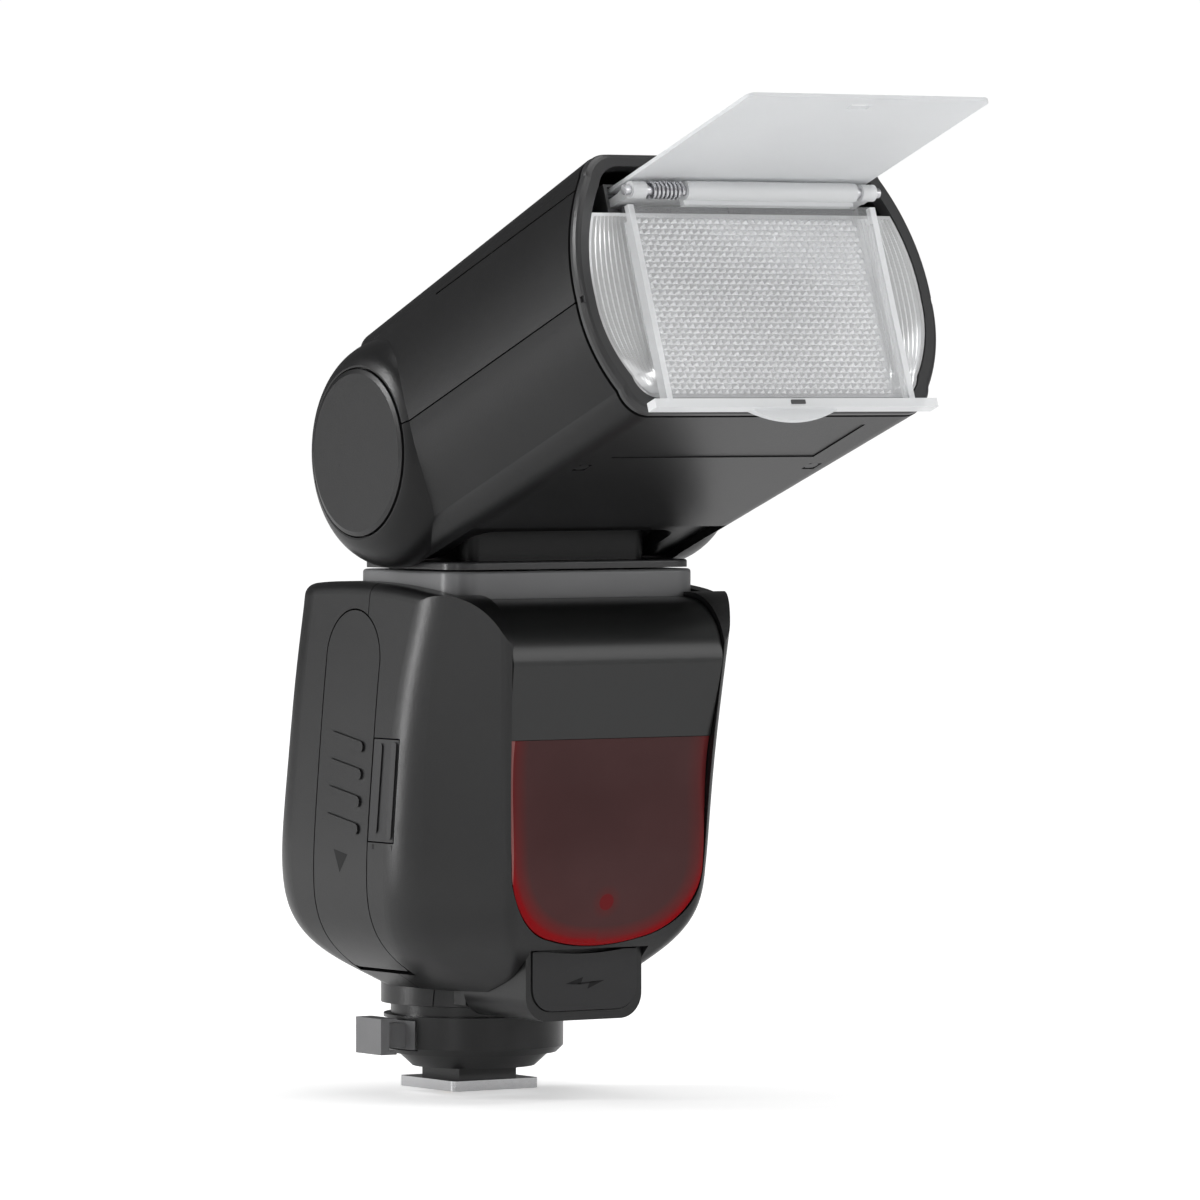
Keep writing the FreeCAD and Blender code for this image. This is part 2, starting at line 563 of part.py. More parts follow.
pins.Links = [rod("contact_pin", "z", "foot_pin_radius", "-pin_out", "5.6", f"{x}", f"{y}") for x, y in PINS]
node("contact_pins", pins)
screws = fresh("Part::Compound", "foot_screws")
screws.Links = [fuse("foot_screw", rod("screw_head", "z", "1.4", "0.15", "1.05", f"{x}", f"{y}"),
                     rod("screw_shank", "z", "0.8", "1.05", "5.8", f"{x}", f"{y}")) for x, y in SCREWS]
node("foot_screws", screws)

# ---------------------------------------------------------------- swivel and yoke
node("swivel_platform", cut(
    "swivel_platform",
    plate("platform_blank", "2 * platform_half_x", "2 * platform_half_y", "platform_top - platform_bottom", "5",
          "0", "swivel_shift", "platform_bottom", edge="0.6"),
    rod("platform_bore", "z", "swivel_bore", "80", "99", "0", "swivel_shift")))
node("turntable", cut(
    "turntable",
    plate("turntable_blank", "2 * turntable_half_x", "2 * turntable_half_y", "turntable_top - turntable_bottom",
          "4.6", "0", "swivel_shift", "turntable_bottom", edge="0.4"),
    rod("turntable_bore", "z", "swivel_radius + 0.02", "80", "99", "0", "swivel_shift")))
node("swivel_shaft", rod("swivel_shaft", "z", "swivel_radius", "86.4", "100.8", "0", "swivel_shift"))
yoke_body = fuse(
    "yoke_body",
    rod("yoke_barrel", "x", "barrel_radius", "-barrel_half", "barrel_half", "swivel_shift", "tilt_height"),
    plate("yoke_neck", "2 * neck_half_x", "2 * neck_half_y", "tilt_height - turntable_top - 0.01", "3",
          "0", "swivel_shift", "turntable_top + 0.01"))
node("yoke", cut(
    "yoke", yoke_body,
    rod("yoke_bore", "x", "tilt_bore", "-40", "40", "swivel_shift", "tilt_height"),
    rod("yoke_socket", "z", "swivel_radius + 0.02", "90", "101.2", "0", "swivel_shift")))

# ---------------------------------------------------------------- zoom head, drawn about the tilt axis
SECTION = [((29.8, 25.8), (31.5, 23.2)), ((36.0, 12.6), (37.4, 0.0)), ((36.2, -8.8), (32.7, -16.4)),
           ((30.7, -19.8), (27.0, -21.0))]


def section(y, inset, wide=1.0, top=0.0):
    """The head's cross-section at y, drawn in by inset, with its top moved by top."""
    def at(x, z, sign):
        nx, nz = x * (37.4 - inset) / 37.4, z * ((27.2 - inset) / 27.2 if z > 0 else (21.0 - inset) / 21.0)
        return V(sign * nx * wide, y, nz + top * max(z, 0) / 27.2)

    start = at(26.0, 27.2, 1)
    steps = [(at(*mid, 1), at(*end, 1)) for mid, end in SECTION]
    corners = [(26.0, 27.2)] + [end for mid, end in SECTION]
    back_steps = [(at(*SECTION[k][0], -1), at(*corners[k], -1)) for k in range(len(SECTION) - 1, -1, -1)]
    return arc_wire(start, steps + [(at(27.0, -21.0, -1),)] + back_steps + [(start,)])


def head_stack(stations):
    """The head through a run of (depth, inset) stations; it narrows and lowers towards the rear."""
    wires = []
    for y, inset in stations:
        k = (y + 79.5) / 83.0
        wires.append(section(y, inset, 1.0 - 0.07 * k, -2.8 * k))
    return Part.makeLoft(wires, True, True)


def head_form(front, rear, inset):
    return head_stack([(front, inset), (rear, inset)])


# The arm round the tilt axis, as radius and distance from the middle plane.
ARM_PROFILE = [(20.8, 27.2), (20.5, 30.6), (19.2, 33.3), (17.5, 35.1), (15.7, 36.1)]


def arm_form(side):
    """One hinge arm: a turned disc whose outer edge is rounded over."""
    curve = Part.BSplineCurve()
    curve.interpolate([V(side * x, 0, r) for r, x in ARM_PROFILE])
    (first_r, first_x), (last_r, last_x) = ARM_PROFILE[0], ARM_PROFILE[-1]
    ends = [V(side * last_x, 0, last_r), V(side * last_x, 0, 0), V(side * first_x, 0, 0), V(side * first_x, 0, first_r)]
    edges = [curve.toShape()] + [Part.LineSegment(a, b).toShape() for a, b in zip(ends, ends[1:])]
    turned = Part.Face(Part.Wire(Part.__sortEdges__(edges))).revolve(V(), V(1, 0, 0), 360)
    return turned if turned.Volume > 0 else turned.reversed()


def make_head():
    inner, outer = size("arm_inner"), size("arm_outer")
    front = -size("head_length") + size("bezel_depth") + 0.1
    form = head_form(front, size("head_rear"), 0)
    form = form.cut([block(-60, 60, 0, 60, -60, 0), block(-27.2, 27.2, -18.6, 60, -60, -19.2)])
    arms = []
    for side in (-1, 1):
        arms += [arm_form(side), x_cylinder(19.2, *sorted((side * inner, side * 27.3)))]
    solid = form.fuse(arms)
    hollow = head_form(front - 5, -21.4, 2.0).common(block(-60, 60, -90, -21.4, -60, 60))
    corners = [V(-inner, -11.5, -60), V(inner, -11.5, -60), V(inner, 60, -60), V(-inner, 60, -60)]
    neck_room = extrude(rounded_outline(corners, [4.0, 4.0, 1.0, 1.0]), V(0, 0, 60))
    tools = [hollow, neck_room, x_cylinder(18.1, -inner, inner), block(-inner, inner, 0, 60, -1, 22.0),
             block(-21.6, 21.6, -73, -56, -22, -20.8)]
    for side in (-1, 1):
        tools.append(x_cylinder(size("cap_recess"), *sorted((side * (outer + 0.2), side * 60))))
        tools.append(x_cylinder(size("tilt_shaft") + 0.02, *sorted((side * 10, side * 60))))
        tools.append(block(*sorted((side * 23.2, side * 25.8)), -52.5, -49.5, -30, -19.9))
    return solid.cut(tools)


head_solid = make_head()
seam = 0.14
upper = biggest(head_solid.common(block(-60, 60, -90, 60, seam, 60)))
lower = biggest(head_solid.common(block(-60, 60, -90, 60, -60, -seam)))
groove = block(-60, 60, -80, -26, 20.5, 20.9).cut(head_form(-81, 5, 0.45))
node("head_top_shell", shape_feature("head_top_shell", biggest(upper.cut(groove))), HEAD)
node("head_bottom_shell", shape_feature("head_bottom_shell", lower), HEAD)

front = -size("head_length")
rear_edge = front + size("bezel_depth")
ring = head_stack([(front, 1.15), (front + 0.2, 0.7), (front + 0.55, 0.35), (front + 1.15, 0.12),
                   (rear_edge - 0.5, 0.1)])
ring = ring.fuse(head_form(rear_edge - 0.5, rear_edge, 0.9)).removeSplitter()
mouth = head_form(front - 1, front + 4, 2.7)
notches = [block(*sorted((s * 36.7, s * 40)), front - 1, front + 1.0, -0.6, 0.6) for s in (-1, 1)]
node("bezel", shape_feature("bezel", biggest(ring.cut([mouth] + notches))), HEAD)

lens_form = head_form(front + 0.3, front + 4.2, 2.85).common(block(-60, 60, -90, 0, -60, 15.9))
lens_back = head_form(front + 1.9, front + 8, 4.6).common(block(-60, 60, -90, 0, -60, 14.3))
node("lens", shape_feature("lens", biggest(lens_form.cut(lens_back))), HEAD)

for label, side in (("hinge_cover_left", -1), ("hinge_cover_right", 1)):
    flat = size("cap_outer") - 0.3
    disc = x_cylinder(size("cap_radius"), *sorted((side * (size("arm_outer") + 0.25), side * flat)))
    dome = Part.makeCone(size("cap_radius"), size("cap_radius") - 0.8, 0.3, V(side * flat, 0, 0), V(side, 0, 0))
    shaft_pocket = x_cylinder(size("tilt_shaft") + 0.1, *sorted((side * 34, side * 35.7)))
    node(label, shape_feature(label, disc.fuse(dome).cut(shaft_pocket).removeSplitter()), HEAD)
node("tilt_shaft", rod("tilt_shaft", "x", "tilt_shaft", "-35.6", "35.6", "0", "0"), HEAD)

# ---------------------------------------------------------------- card tray, bounce card and wide panel
node("card_tray", cut(
    "card_tray",
    slab("tray_body", ("-tray_half", "tray_half"), ("-77", "-tray_rear"), ("16.5", "22")),
    slab("card_space", ("-card_half - 0.4", "card_half + 0.4"), ("-90", "-20"), ("card_low - 0.3", "21.6")),
    slab("panel_space", ("-26", "26"), ("-90", "-41"), ("17.6", "19.6")),
    slab("tray_void", ("-22", "22"), ("-66", "-34"), ("21", "30"))), HEAD)
card_tip = "-(head_length + card_out)"
node("bounce_card", cut(
    "bounce_card",
    plate("card_blank", "2 * card_half", "card_length", "card_thick", "1.6", "0",
          f"{card_tip} + card_length / 2", "card_low"),
    slab("card_slot", ("-2.2", "2.2"), (f"{card_tip} + 3", f"{card_tip} + 5"), ("20", "24"))), HEAD)
node("panel_carrier", cut("panel_carrier", fuse(
    "carrier_body",
    slab("carrier_plate", ("-25.8", "25.8"), ("-81.2", "-42"), ("17.9", "19.3")),
    slab("carrier_left", ("-25.8", "-22.9"), ("-hinge_out", "-80"), ("17.7", "19.5")),
    slab("carrier_right", ("22.9", "25.8"), ("-hinge_out", "-80"), ("17.7", "19.5")),
    rod("carrier_eye", "x", "1.5", "-25.8", "-22.9", "-hinge_out", "hinge_height"),
    rod("carrier_eye", "x", "1.5", "22.9", "25.8", "-hinge_out", "hinge_height")),
    rod("carrier_bore", "x", "0.93", "-30", "30", "-hinge_out", "hinge_height")), HEAD)
node("hinge_bar", rod("hinge_bar", "x", "0.9", "-27", "27", "-hinge_out", "hinge_height"), HEAD)
panel = fuse(
    "wide_panel_body",
    slab("panel_sheet", ("-panel_half", "panel_half"), ("-panel_near - panel_thick", "-panel_near"),
         ("panel_low", "16.2")),
    slab("panel_left_rib", ("-panel_half", "1 - panel_half"), ("-panel_near - 0.1", "0.9 - panel_near"),
         ("panel_low", "13.5")),
    slab("panel_right_rib", ("panel_half - 1", "panel_half"), ("-panel_near - 0.1", "0.9 - panel_near"),
         ("panel_low", "13.5")),
    slab("panel_web", ("-14.4", "21.6"), ("-panel_near - panel_thick", "-panel_near"), ("16", "hinge_height")),
    rod("panel_eye", "x", "hinge_radius", "-14.4", "21.6", "-hinge_out", "hinge_height"),
    slab("panel_flange", ("-flange_half", "flange_half"), ("-panel_near - 2.6", "-panel_near"),
         ("panel_low - 1.6", "panel_low")),
    cut("panel_tab", rod("panel_round", "y", "22", "-panel_near - panel_thick", "-panel_near", "0",
                         "panel_low + 18.4"),
        slab("above_tab", ("-30", "30"), ("-90", "-70"), ("panel_low + 5", "40"))))
node("wide_panel", cut("wide_panel", panel,
                       rod("panel_bore", "x", "0.97", "-30", "30", "-hinge_out", "hinge_height")), HEAD)


def coil(radius, wire, pitch, x0, x1, y, z):
    """A round-wire coil spring along X."""
    path = Part.makeHelix(pitch, x1 - x0, radius)
    ring = Part.Wire([Part.makeCircle(wire, V(radius, 0, 0), V(0, 1, 0))])
    spring = Part.Wire(path).makePipeShell([ring], True, True)
    spring.rotate(V(), V(0, 1, 0), 90)
    spring.translate(V(x0, y, z))
    return spring


node("hinge_spring", shape_feature("hinge_spring", coil(
    1.32, 0.27, 0.85, -21.9, -15.2, -size("hinge_out"), size("hinge_height"))), HEAD)

# ---------------------------------------------------------------- zoom carriage
def wedge(y0, half0, low0, high0, y1, half1, low1, high1):
    """A straight loft between two upright rectangles."""
    wires = [Part.makePolygon([V(-h, y, a), V(h, y, a), V(h, y, b), V(-h, y, b), V(-h, y, a)])
             for y, h, a, b in ((y0, half0, low0, high0), (y1, half1, low1, high1))]
    return Part.makeLoft(wires, True, True)


TUBE_Y, TUBE_Z = -53.6, -1.8
mirror = wedge(-72.5, size("reflector_half"), -15.5, 12.0, -49.9, 19.0, -5.2, 1.8)
mirror = mirror.cut(wedge(-73.5, size("reflector_half") - 0.7, -15.3, 11.7, -50.7, 18.4, -4.6, 1.2))
mirror = mirror.cut(x_cylinder(2.5, -30, 30, TUBE_Y, TUBE_Z))
node("reflector", shape_feature("reflector", biggest(mirror)), HEAD)
node("flash_tube", rod("flash_tube", "x", "2.3", "-23.4", "23.4", f"{TUBE_Y}", f"{TUBE_Z}"), HEAD)
SCREW_X, SCREW_Z = 26.5, -5.0
node("zoom_carriage", cut(
    "zoom_carriage",
    fuse("carriage_body",
         slab("carriage_bar", ("-30", "30"), ("-49.8", "-46"), ("-8.5", "-1.5")),
         slab("carriage_back", ("-19", "19"), ("-49.8", "-46"), ("-9.5", "6"))),
    rod("screw_bore", "y", "1.9", "-60", "-40", f"-{SCREW_X}", f"{SCREW_Z}"),
    rod("rail_bore", "y", "1.5", "-60", "-40", f"{SCREW_X}", f"{SCREW_Z}")), HEAD)
node("zoom_screw", rod("zoom_screw", "y", "1.6", "-73.5", "-30.4", f"-{SCREW_X}", f"{SCREW_Z}"), HEAD)
node("zoom_motor", rod("zoom_motor", "y", "4.9", "-30.2", "-21.6", f"-{SCREW_X}", f"{SCREW_Z}"), HEAD)
node("zoom_rail", rod("zoom_rail", "y", "1.3", "-73.5", "-21.6", f"{SCREW_X}", f"{SCREW_Z}"), HEAD)
head_screws = fresh("Part::Compound", "head_screws")
head_screws.Links = [rod("head_screw", "z", "1.25", "-20.9", "-19.95", x, "-51") for x in ("-24.5", "24.5")]
node("head_screws", head_screws, HEAD)

# ---------------------------------------------------------------- checks and export
doc.recompute()
os.makedirs("parts", exist_ok=True)
for obj in doc.Objects:
    if "Invalid" in obj.State or "Error" in obj.State:
        raise RuntimeError(f"{obj.Name}: {obj.State}")
for label, obj in made.items():
    if obj.Shape.isNull() or not obj.Shape.isValid():
        raise RuntimeError(f"{label}: bad shape")
    obj.Shape.exportStep(f"parts/{label}.step")
print(len(made), "nodes written")
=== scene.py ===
import bpy
import math
from mathutils import Matrix, Vector
from mathutils.bvhtree import BVHTree


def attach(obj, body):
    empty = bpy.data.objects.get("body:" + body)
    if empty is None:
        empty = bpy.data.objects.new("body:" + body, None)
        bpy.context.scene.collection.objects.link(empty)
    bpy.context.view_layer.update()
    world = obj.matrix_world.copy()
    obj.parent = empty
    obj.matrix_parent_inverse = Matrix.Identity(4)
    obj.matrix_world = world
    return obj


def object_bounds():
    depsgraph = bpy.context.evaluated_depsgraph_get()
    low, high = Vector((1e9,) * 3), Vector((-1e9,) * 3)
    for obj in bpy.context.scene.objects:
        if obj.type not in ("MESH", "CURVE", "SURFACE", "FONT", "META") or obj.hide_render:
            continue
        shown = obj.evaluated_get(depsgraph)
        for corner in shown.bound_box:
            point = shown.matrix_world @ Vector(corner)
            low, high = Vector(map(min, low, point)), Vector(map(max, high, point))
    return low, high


# Speedlight flash. Everything is in metres in the CAD row frame; MM turns millimetres into metres.
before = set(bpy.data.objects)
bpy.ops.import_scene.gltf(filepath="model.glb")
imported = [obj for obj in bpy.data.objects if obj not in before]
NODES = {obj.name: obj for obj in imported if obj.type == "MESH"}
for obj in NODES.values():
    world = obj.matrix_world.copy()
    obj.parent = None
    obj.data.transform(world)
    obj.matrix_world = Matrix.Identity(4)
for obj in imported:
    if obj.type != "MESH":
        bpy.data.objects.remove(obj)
CAD_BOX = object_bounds()
MM = 0.001

# The head's own frame: the tilt axis is its origin and -Y looks out of the lens.
TILT = math.radians(20.0)
AXIS = Vector((0, -19.5, 116.8)) * MM
HEAD = Matrix.Translation(AXIS) @ Matrix.Rotation(-TILT, 4, "X")
REAR = Matrix.Translation(Vector((0, 18.0, 60.0)) * MM) @ Matrix.Rotation(math.radians(6.6), 4, "X")


# ------------------------------------------------------------------ materials
def surface(name, colour, rough, *, metal=0.0, grain=2600, depth=0.12, height=0.04, spread=0.05, tint=0.12,
            broad=45, coat=0.0, glow=0.0, ior=1.46, alpha=1.0, specular=0.5, brushed=None):
    """Moulded or machined finish: fine grain in the bump, uneven roughness and slow colour change."""
    material = bpy.data.materials.new(name)
    material.use_nodes = True
    tree = material.node_tree
    nodes, links = tree.nodes, tree.links
    shader = nodes["Principled BSDF"]
    place = nodes.new("ShaderNodeTexCoord")
    stretch = nodes.new("ShaderNodeMapping")
    stretch.inputs["Scale"].default_value = brushed or (1, 1, 1)
    links.new(place.outputs["Object"], stretch.inputs["Vector"])
    fine = nodes.new("ShaderNodeTexNoise")
    fine.inputs["Scale"].default_value = grain
    fine.inputs["Detail"].default_value = 3
    slow = nodes.new("ShaderNodeTexNoise")
    slow.inputs["Scale"].default_value = broad
    slow.inputs["Detail"].default_value = 4
    links.new(stretch.outputs["Vector"], fine.inputs["Vector"])
    links.new(place.outputs["Object"], slow.inputs["Vector"])
    ramp = nodes.new("ShaderNodeValToRGB")
    low, high = ramp.color_ramp.elements
    low.position, high.position = 0.3, 0.72
    low.color = (*[c * (1 - tint) for c in colour], 1)
    high.color = (*[min(1.0, c * (1 + tint)) for c in colour], 1)
    links.new(slow.outputs["Fac"], ramp.inputs["Fac"])
    links.new(ramp.outputs["Color"], shader.inputs["Base Color"])
    span = nodes.new("ShaderNodeMapRange")
    span.inputs["To Min"].default_value = max(0.02, rough - spread)
    span.inputs["To Max"].default_value = min(1.0, rough + spread)
    links.new(fine.outputs["Fac"], span.inputs["Value"])
    links.new(span.outputs["Result"], shader.inputs["Roughness"])
    bump = nodes.new("ShaderNodeBump")
    bump.inputs["Strength"].default_value = depth
    bump.inputs["Distance"].default_value = height * MM
    links.new(fine.outputs["Fac"], bump.inputs["Height"])
    links.new(bump.outputs["Normal"], shader.inputs["Normal"])
    shader.inputs["Metallic"].default_value = metal
    shader.inputs["IOR"].default_value = ior
    shader.inputs["Specular IOR Level"].default_value = specular
    shader.inputs["Coat Weight"].default_value = coat
    shader.inputs["Coat Roughness"].default_value = 0.12
    shader.inputs["Transmission Weight"].default_value = glow
    shader.inputs["Alpha"].default_value = alpha
    return material


def head_place(tree):
    """Coordinates of the head's own frame, in metres, split into X, Y and Z."""
    place = tree.nodes.new("ShaderNodeTexCoord")
    turn = tree.nodes.new("ShaderNodeMapping")
    turn.vector_type = "TEXTURE"
    turn.inputs["Location"].default_value = AXIS
    turn.inputs["Rotation"].default_value = (-TILT, 0, 0)
    split = tree.nodes.new("ShaderNodeSeparateXYZ")
    tree.links.new(place.outputs["Object"], turn.inputs["Vector"])
    tree.links.new(turn.outputs["Vector"], split.inputs["Vector"])
    return split


def maths(tree, operation, *values, clamp=False):
    """One math node; a value is a number or an output."""
    node = tree.nodes.new("ShaderNodeMath")
    node.operation = operation
    node.use_clamp = clamp
    for socket, value in zip(node.inputs, values):
        if isinstance(value, (int, float)):
            socket.default_value = value
        else:
            tree.links.new(value, socket)
    return node.outputs[0]


def ramp_over(tree, value, stops):
    """A colour ramp over a value, from (position, colour) stops."""
    node = tree.nodes.new("ShaderNodeValToRGB")
    elements = node.color_ramp.elements
    while len(elements) < len(stops):
        elements.new(0.5)
    for element, (position, colour) in zip(elements, stops):
        element.position = position
        element.color = (*colour, 1)
    tree.links.new(value, node.inputs["Fac"])
    return node.outputs["Color"]


def blend_colour(tree, factor, first, second):
    node = tree.nodes.new("ShaderNodeMix")
    node.data_type = "RGBA"
    tree.links.new(factor, node.inputs["Factor"])
    for socket, value in ((node.inputs[6], first), (node.inputs[7], second)):
        if isinstance(value, tuple):
            socket.default_value = (*value, 1)
        else:
            tree.links.new(value, socket)
    return node.outputs[2]


def greys(*stops):
    """Ramp stops from (position, grey level) pairs."""
    return [(position, (level,) * 3) for position, level in stops]


def window_red():
    """Dark red filter with a painted rim light along its rounded lower rim and sides, a painted highlight on
    its left edge, and the receiver's dot showing.
    """
    half, shoulder, drop, roundness = 21.4 * MM, 46.0 * MM, 17.8 * MM, 2.4
    lit_below, lit_per_metre = 70.0 * MM, 25.0
    dot_x, dot_z, dot_per_metre = 0.3 * MM, 36.2 * MM, 250.0
    highlight_x = -20.2 * MM
    # Colours of the painted rim light, of the receiver's dot and of the painted highlight on the left edge.
    painted_rim_light_red, dot_red, highlight_red = (0.25, 0.0015, 0.004), (0.17, 0.004, 0.007), (0.34, 0.15, 0.14)

    material = surface("red_window", (0.07, 0.031, 0.031), 0.24, grain=2200, depth=0.05, tint=0.1,
                       specular=0.1)
    tree = material.node_tree
    shader = tree.nodes["Principled BSDF"]
    body = shader.inputs["Base Color"].links[0].from_socket
    place = tree.nodes.new("ShaderNodeTexCoord")
    split = tree.nodes.new("ShaderNodeSeparateXYZ")
    tree.links.new(place.outputs["Object"], split.inputs["Vector"])
    x, z = split.outputs["X"], split.outputs["Z"]

    # Nearness to the rim: 0 in the middle and 1 on a rounded outline. The painted rim light is brightest low
    # down and on the left.
    across = maths(tree, "POWER", maths(tree, "DIVIDE", maths(tree, "ABSOLUTE", x), half), roundness)
    fall = maths(tree, "MAXIMUM", maths(tree, "SUBTRACT", shoulder, z), 0.0)
    down = maths(tree, "POWER", maths(tree, "DIVIDE", fall, drop), roundness)
    rim = maths(tree, "MULTIPLY", maths(tree, "ADD", across, down), 0.9, clamp=True)
    glow = ramp_over(tree, rim, greys((0.0, 0.0), (0.52, 0.02), (0.72, 0.4), (0.84, 1.0)))
    depth = maths(tree, "MULTIPLY", maths(tree, "SUBTRACT", lit_below, z), lit_per_metre, clamp=True)
    low = ramp_over(tree, depth, greys((0.0, 0.3), (0.5, 0.4), (0.85, 1.0), (1.0, 1.0)))
    left = maths(tree, "MULTIPLY", maths(tree, "LESS_THAN", x, 0.0), 0.35)
    strength = maths(tree, "MULTIPLY", glow, maths(tree, "ADD", low, left), clamp=True)
    colour = blend_colour(tree, strength, body, painted_rim_light_red)

    # The receiver's dot, with a faint ring round it.
    dx, dz = maths(tree, "SUBTRACT", x, dot_x), maths(tree, "SUBTRACT", z, dot_z)
    square = maths(tree, "ADD", maths(tree, "MULTIPLY", dx, dx), maths(tree, "MULTIPLY", dz, dz))
    away = maths(tree, "MULTIPLY", maths(tree, "SQRT", square), dot_per_metre, clamp=True)
    dot = ramp_over(tree, away, greys((0.0, 0.75), (0.34, 0.75), (0.4, 0.22), (0.8, 0.0)))
    colour = blend_colour(tree, dot, colour, dot_red)

    # Painted highlight: the window's left edge is mixed towards a pale red.
    pale = maths(tree, "MULTIPLY", maths(tree, "LESS_THAN", x, highlight_x), 0.75)
    colour = blend_colour(tree, pale, colour, highlight_red)
    tree.links.new(colour, shader.inputs["Base Color"])
    return material


def panel_plastic():
    """Clear plastic that whitens at its edges, its hinge and its lower flange."""
    edge_x, hinge_z, flange_z = 25.05 * MM, 16.3 * MM, -19.6 * MM
    alpha, more_alpha, rough, more_rough = 0.13, 0.55, 0.05, 0.25
    material = surface("clear_panel", (0.93, 0.94, 0.95), rough, grain=700, depth=0.05, tint=0.01,
                       ior=1.49)
    tree = material.node_tree
    shader = tree.nodes["Principled BSDF"]
    split = head_place(tree)
    side = maths(tree, "GREATER_THAN", maths(tree, "ABSOLUTE", split.outputs["X"]), edge_x)
    high = maths(tree, "GREATER_THAN", split.outputs["Z"], hinge_z)
    low = maths(tree, "LESS_THAN", split.outputs["Z"], flange_z)
    edge = maths(tree, "MAXIMUM", maths(tree, "MAXIMUM", side, high), low)
    for base, more, socket in ((alpha, more_alpha, "Alpha"), (rough, more_rough, "Roughness")):
        value = maths(tree, "ADD", base, maths(tree, "MULTIPLY", edge, more))
        tree.links.new(value, shader.inputs[socket])
    return material


BLACK = (0.009, 0.009, 0.0094)
SATIN = surface("satin_black", BLACK, 0.3, grain=3800, depth=0.4, height=0.05)
# Painted shade: the satin black again with weaker reflection, so the head's underside and the yoke read
# darker.
SHADED_BLACK = surface("satin_black_painted_shade", BLACK, 0.34, grain=3800, depth=0.4, height=0.05, specular=0.28)
INNER = surface("inner_black", (0.014, 0.014, 0.0145), 0.5, grain=3000, depth=0.2)
GLOSS = surface("brow_black", (0.012, 0.0125, 0.0125), 0.3, grain=5200, depth=0.1, coat=0.1, tint=0.06)
# Painted sheen: the base is lifted well above the other blacks, so the bezel reads lighter as if catching a
# broad reflection; the turntable and infrared sensor share it.
BEZEL = surface("bezel_black_painted_sheen", (0.042, 0.042, 0.043), 0.3, grain=4200)
RUBBER = surface("port_rubber", (0.02, 0.02, 0.021), 0.5, grain=2400, depth=0.35, specular=0.45)
GREY = surface("satin_grey", (0.075, 0.076, 0.078), 0.34, grain=3000, depth=0.3, tint=0.1)
# Painted reflection: a lighter grey than the card tray's, lifted to stand in for the light that the platform's
# front reflects.
PLATFORM = surface("platform_grey_painted_reflection", (0.19, 0.191, 0.195), 0.33, grain=3000, depth=0.3, tint=0.06)
LEVER = surface("lever_grey", (0.19, 0.19, 0.194), 0.36, grain=2600, depth=0.25, tint=0.06)
INK = surface("matt_ink", (0.006, 0.006, 0.0065), 0.6, grain=2600, depth=0.2, specular=0.3)
PAINT = surface("white_ink", (0.62, 0.62, 0.62), 0.5, grain=2600, depth=0.15, tint=0.05)
BUTTON = surface("button_rubber", (0.05, 0.05, 0.052), 0.5, grain=2600, depth=0.25)
STEEL = surface("foot_steel", (0.6, 0.6, 0.61), 0.24, metal=1, grain=900, depth=0.1, tint=0.05,
                brushed=(1, 14, 1))
SHAFT = surface("turned_steel", (0.6, 0.6, 0.62), 0.28, metal=1, grain=1100, brushed=(12, 1, 1))
GOLD = surface("contact_gold", (0.85, 0.62, 0.27), 0.25, metal=1, grain=1500, tint=0.06)
DARK_SCREW = surface("black_screw", (0.06, 0.06, 0.062), 0.4, metal=1, grain=2000)
RED = window_red()
LAMP_RED = surface("button_red", (0.2, 0.006, 0.01), 0.3, grain=1600, depth=0.06, tint=0.15)
LENS = surface("lens_prisms", (0.9, 0.905, 0.91), 0.14, metal=0.4, grain=1500, depth=0.06, tint=0.03,
               glow=0.1, ior=1.49)
CLEAR = panel_plastic()
CARD = surface("bounce_white", (0.84, 0.85, 0.86), 0.42, grain=1800, depth=0.06, tint=0.02, glow=0.3,
               ior=1.2)
MIRROR = surface("reflector_metal", (0.93, 0.93, 0.94), 0.2, metal=1, grain=500, depth=0.08, tint=0.03)
TUBE = surface("tube_glass", (0.95, 0.96, 0.98), 0.05, grain=300, depth=0.02, glow=0.9)
BOARD = surface("board_green", (0.02, 0.12, 0.06), 0.4, grain=700, tint=0.3)
CELL = surface("cell_sleeve", (0.06, 0.07, 0.25), 0.3, grain=1200, metal=0.4, tint=0.2)
SCREEN = surface("display_panel", (0.21, 0.24, 0.2), 0.35, grain=2400, tint=0.05)
PANE = surface("display_pane", (0.5, 0.52, 0.5), 0.06, grain=400, depth=0.02, glow=0.8, tint=0.03)
PORT = surface("port_metal", (0.7, 0.7, 0.72), 0.25, metal=1, grain=1600)
LAMP = surface("lamp_clear", (0.75, 0.6, 0.6), 0.1, grain=900, glow=0.5)

